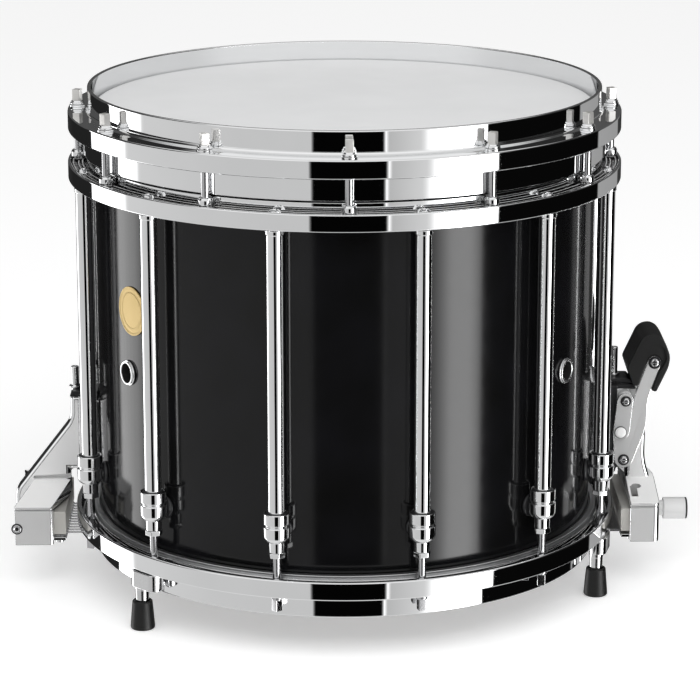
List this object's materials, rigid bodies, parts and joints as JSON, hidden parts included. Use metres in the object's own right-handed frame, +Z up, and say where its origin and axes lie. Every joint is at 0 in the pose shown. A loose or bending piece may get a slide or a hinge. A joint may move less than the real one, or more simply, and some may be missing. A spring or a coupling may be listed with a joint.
{
  "type": "marching snare drum",
  "caption": "Marching snare drum on short rubber feet: floating shell in a hoop, ring and tube frame, with a lever throw-off and a butt plate for the snare strands.",
  "frame": {"origin": "on the floor plane that the three rubber feet stand on, under the middle of the whole width from the butt plate's edge to the tension knob's end; the shell's axis is 5.4 mm to the left of it, at x = -0.0054 m", "axes": "+Z up along the shell's axis, -Y towards the front of the drum in the picture, +X towards the throw-off and its lever"},
  "size_m": [0.4872, 0.3884, 0.359],
  "materials": {
    "chrome": "bright chrome plate",
    "casting": "polished die casting",
    "satin_aluminium": "satin",
    "shell_finish": "gloss black lacquer over wood plies",
    "black_coating": "semi-gloss black coat",
    "rubber": "moulded, matte",
    "white_film": "smooth white woven-fibre film",
    "clear_film": "thin translucent film",
    "gold": "brushed gold badge metal",
    "strand_steel": "coated cable"
  },
  "bodies": {
    "drum_frame": {"top_hoop": "chrome", "bottom_hoop": "chrome", "upper_ring": "chrome", "top_tension_rod_01": "chrome", "top_tension_rod_02": "chrome", "top_tension_rod_03": "chrome", "top_tension_rod_04": "chrome", "top_tension_rod_05": "chrome", "top_tension_rod_06": "chrome", "top_tension_rod_07": "chrome", "top_tension_rod_08": "chrome", "top_tension_rod_09": "chrome", "top_tension_rod_10": "chrome", "top_tension_rod_11": "chrome", "top_tension_rod_12": "chrome", "tension_column_01": "chrome", "tension_column_02": "chrome", "tension_column_03": "chrome", "tension_column_04": "chrome", "tension_column_05": "chrome", "tension_column_06": "chrome", "tension_column_07": "chrome", "tension_column_08": "chrome", "tension_column_09": "chrome", "tension_column_10": "chrome", "tension_column_11": "chrome", "tension_column_12": "chrome", "vent_grommet_left": "chrome", "vent_grommet_right": "chrome", "foot_bracket_1": "casting", "foot_bracket_2": "casting", "foot_bracket_3": "casting", "throw_base": "casting", "butt_base": "casting", "top_flesh_hoop": "satin_aluminium", "bottom_flesh_hoop": "satin_aluminium", "shell": "shell_finish", "throw_cap": "black_coating", "butt_cap": "black_coating", "foot_tip_1": "rubber", "foot_tip_2": "rubber", "foot_tip_3": "rubber", "top_head": "white_film", "bottom_head": "clear_film", "badge": "gold"},
    "throw_height_screw": {"throw_height_screw": "chrome"},
    "throw_slide": {"throw_slide": "black_coating"},
    "throw_lever": {"throw_lever": "casting", "lever_grip": "rubber"},
    "throw_links": {"link_front": "casting", "link_back": "casting"},
    "throw_carriage": {"throw_carriage": "casting"},
    "tension_knob": {"tension_knob": "satin_aluminium"},
    "throw_clamp": {"throw_clamp_block": "satin_aluminium", "throw_clamp_plate": "chrome"},
    "butt_height_screw": {"butt_height_screw": "chrome"},
    "butt_carriage": {"butt_carriage": "casting", "butt_clamp_block": "satin_aluminium", "butt_clamp_plate": "chrome"},
    "snare_strands": {"snare_strands": "strand_steel"}
  },
  "joints": [
    {"name": "throw_height_turn", "type": "hinge", "parent": "drum_frame", "child": "throw_height_screw", "pos_m": [0.188, 0, 0.15], "axis": [0, 0, 1], "range_deg": [0, 721]},
    {"name": "throw_height_slide", "type": "slide", "parent": "drum_frame", "child": "throw_slide", "axis": [0, 0, -1], "range_m": [0, 0.002]},
    {"name": "lever_swing", "type": "hinge", "parent": "throw_slide", "child": "throw_lever", "pos_m": [0.1948, 0, 0.0867], "axis": [0, 1, 0], "range_deg": [0, 50]},
    {"name": "link_swing", "type": "hinge", "parent": "throw_lever", "child": "throw_links", "pos_m": [0.1919, 0, 0.1081], "axis": [0, -1, 0], "range_deg": [0, 96]},
    {"name": "carriage_drop", "type": "slide", "parent": "throw_slide", "child": "throw_carriage", "axis": [0, 0, -1], "range_m": [0, 0.01]},
    {"name": "tension_knob_turn", "type": "hinge", "parent": "throw_carriage", "child": "tension_knob", "pos_m": [0.2346, 0, 0.0443], "axis": [1, 0, 0], "range_deg": [0, 721]},
    {"name": "clamp_pull", "type": "slide", "parent": "throw_carriage", "child": "throw_clamp", "axis": [1, 0, 0], "range_m": [0, 0.002]},
    {"name": "butt_height_turn", "type": "hinge", "parent": "drum_frame", "child": "butt_height_screw", "pos_m": [-0.1988, 0, 0.14], "axis": [0, 0, 1], "range_deg": [0, 721]},
    {"name": "butt_height_slide", "type": "slide", "parent": "drum_frame", "child": "butt_carriage", "axis": [0, 0, -1], "range_m": [0, 0.002]},
    {"name": "strands_tilt", "type": "hinge", "parent": "butt_carriage", "child": "snare_strands", "pos_m": [-0.2095, 0, 0.0394], "axis": [0, 1, 0], "range_deg": [0, 1.5]}
  ],
  "couplings": [
    {"joint": "throw_height_turn", "follows": "throw_height_slide", "rad_per_m": 6283.2},
    {"joint": "link_swing", "follows": "lever_swing", "ratio": 1.9079},
    {"joint": "carriage_drop", "follows": "lever_swing", "m_per_rad": 0.011402},
    {"joint": "strands_tilt", "follows": "lever_swing", "ratio": 0.0284},
    {"joint": "tension_knob_turn", "follows": "clamp_pull", "rad_per_m": 6283.2},
    {"joint": "butt_height_turn", "follows": "butt_height_slide", "rad_per_m": 6283.2}
  ]
}
